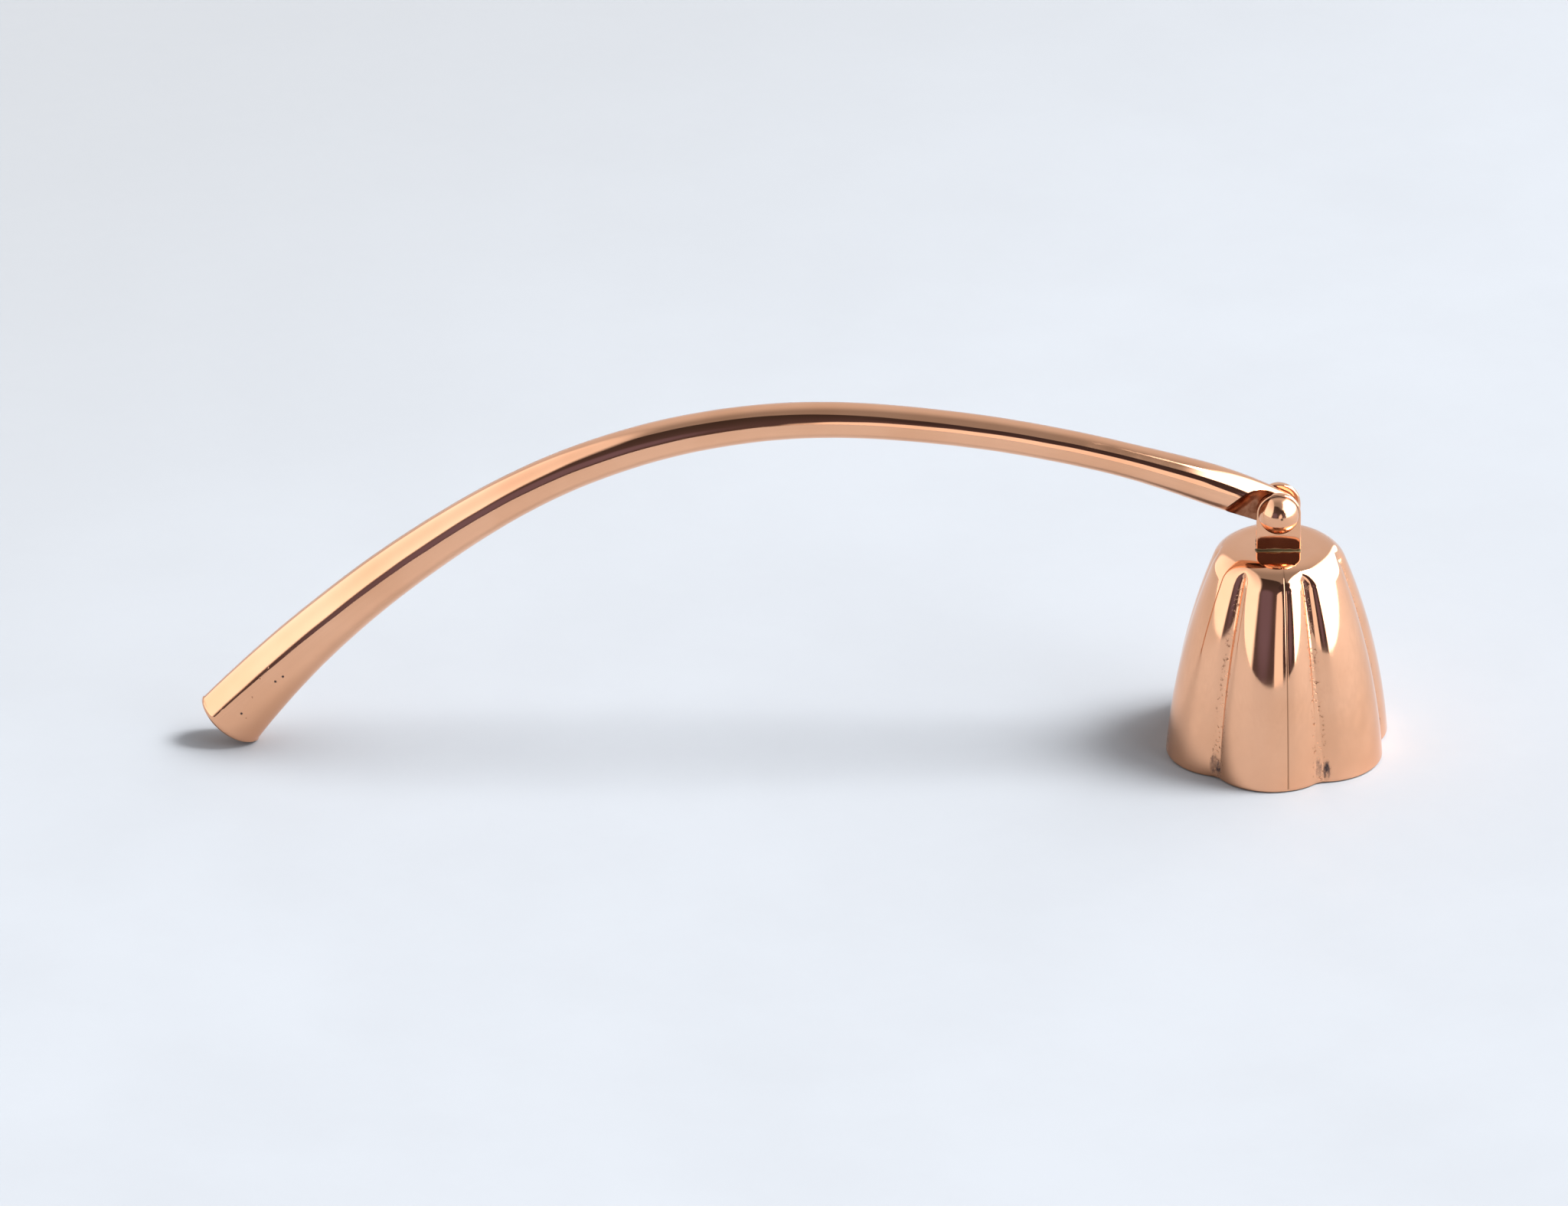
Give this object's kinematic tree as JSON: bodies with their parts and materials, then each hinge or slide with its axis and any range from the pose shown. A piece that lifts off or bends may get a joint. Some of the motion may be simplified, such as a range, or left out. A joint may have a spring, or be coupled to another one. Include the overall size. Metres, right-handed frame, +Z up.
{
  "type": "candle snuffer",
  "caption": "Polished rose-copper candle snuffer: a fluted bell with petal-shaped sides swings from a pinned clevis on an arched handle that swells to an oval grip.",
  "frame": {"origin": "centre of the bell's mouth, on the table that the bell and the tip of the handle rest on", "axes": "+Z up along the bell's axis, the handle runs towards -X, the hinge pin lies along Y"},
  "size_m": [0.2051, 0.0398, 0.0653],
  "materials": {
    "handle_plate": "polished rose-copper plate",
    "bell_plate": "polished rose-copper plate",
    "hinge_plate": "polished rose-copper plate"
  },
  "bodies": {
    "handle_body": {"handle": "handle_plate"},
    "bell_body": {"bell": "bell_plate", "clevis": "hinge_plate", "hinge_pin": "hinge_plate", "hinge_pin_cap": "hinge_plate", "crown_rivet": "hinge_plate"}
  },
  "joints": [
    {"name": "bell_swing", "type": "hinge", "parent": "handle_body", "child": "bell_body", "pos_m": [0, 0, 0.04505], "axis": [0, -1, 0], "range_deg": [-40, 150]}
  ]
}
